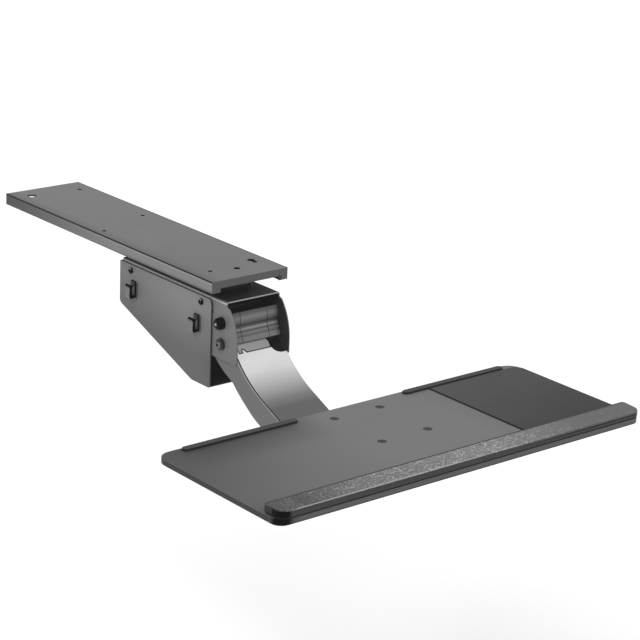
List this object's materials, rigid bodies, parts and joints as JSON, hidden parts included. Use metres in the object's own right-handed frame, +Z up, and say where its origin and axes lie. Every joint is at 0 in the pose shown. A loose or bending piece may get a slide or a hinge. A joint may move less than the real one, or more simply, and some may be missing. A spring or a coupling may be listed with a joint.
{
  "type": "under-desk keyboard tray",
  "caption": "Under-desk keyboard tray: a steel track, a sliding carriage, a swivelling bracket with a parallel lift arm, and a tilting board with mouse pad and palm rest.",
  "frame": {"origin": "centre of the track's top face, where it meets the underside of the desk", "axes": "+X the user's right, +Y back under the desk along the track, +Z up"},
  "size_m": [0.63, 1.0035, 0.2382],
  "materials": {
    "painted_steel": "fine textured dark grey powder coat",
    "track_steel": "satin dark grey paint",
    "arm_steel": "dark grey paint",
    "satin_steel": "satin silver",
    "zinc_steel": "zinc plated",
    "black_steel": "blackened",
    "cover_plastic": "fine grained, dark grey",
    "black_plastic": "matte black",
    "nylon": "natural nylon",
    "black_rubber": "matte black",
    "board": "laminated board, dark grey, fine speckle",
    "pad_cloth": "dark woven cloth on foam",
    "palm_leather": "grained soft grey skin"
  },
  "bodies": {
    "track": {"track_channel": "track_steel", "rear_stops": "black_rubber"},
    "carriage": {"carriage_plate": "arm_steel", "glide_shoes": "nylon", "swivel_spacer": "arm_steel", "swivel_bolt": "zinc_steel", "swivel_nut": "zinc_steel"},
    "mechanism": {"swivel_washer": "nylon", "mechanism_bracket": "painted_steel", "bracket_cover": "cover_plastic", "cover_screws": "zinc_steel", "cable_clips": "black_plastic", "upper_axle": "zinc_steel", "axle_caps": "black_plastic", "lower_pivot_bolt": "zinc_steel", "lower_pivot_nut": "zinc_steel", "pivot_flanges": "black_steel", "lower_spacers": "black_steel", "spring_bar": "zinc_steel", "lift_springs": "zinc_steel"},
    "arm": {"arm_channel": "arm_steel", "arm_bushes": "nylon", "arm_skin": "satin_steel", "skin_end_plate": "satin_steel", "spring_pin": "zinc_steel", "hinge_cover_left": "cover_plastic", "hinge_cover_middle": "cover_plastic", "hinge_cover_right": "cover_plastic"},
    "link": {"tie_link": "arm_steel"},
    "head": {"head_bracket": "painted_steel", "head_upper_pin": "zinc_steel", "head_lower_pin": "zinc_steel", "pin_clips": "black_steel", "link_spacers": "black_steel"},
    "tray": {"tray_bracket": "painted_steel", "tilt_bolt": "zinc_steel", "tilt_washers": "nylon", "tray_board": "board", "tray_screws": "black_steel", "tray_nuts": "zinc_steel", "mouse_pad": "pad_cloth", "palm_rest_base": "black_rubber", "palm_rest": "palm_leather", "back_strip_left": "black_rubber", "back_strip_right": "black_rubber"},
    "knob": {"tilt_knob": "black_plastic"}
  },
  "joints": [
    {"name": "carriage_slide", "type": "slide", "parent": "track", "child": "carriage", "axis": [0, 1, 0], "range_m": [0, 0.39]},
    {"name": "swivel", "type": "hinge", "parent": "carriage", "child": "mechanism", "pos_m": [0, -0.2015, -0.03], "axis": [0, 0, 1], "range_deg": [-180, 180]},
    {"name": "lift", "type": "hinge", "parent": "mechanism", "child": "arm", "pos_m": [0, -0.2678, -0.0635], "axis": [-1, 0, 0], "range_deg": [0, 36]},
    {"name": "link_follow", "type": "hinge", "parent": "mechanism", "child": "link", "pos_m": [0, -0.2678, -0.0947], "axis": [-1, 0, 0], "range_deg": [0, 36]},
    {"name": "head_level", "type": "hinge", "parent": "arm", "child": "head", "pos_m": [0, -0.5, -0.195], "axis": [-1, 0, 0], "range_deg": [-36, 0]},
    {"name": "tray_tilt", "type": "hinge", "parent": "head", "child": "tray", "pos_m": [0, -0.53, -0.163], "axis": [1, 0, 0], "range_deg": [-15, 15]},
    {"name": "knob_turn", "type": "hinge", "parent": "tray", "child": "knob", "pos_m": [0.05, -0.53, -0.163], "axis": [1, 0, 0], "range_deg": [-180, 180]}
  ],
  "couplings": [
    {"joint": "link_follow", "follows": "lift", "ratio": 1},
    {"joint": "head_level", "follows": "lift", "ratio": -1}
  ]
}
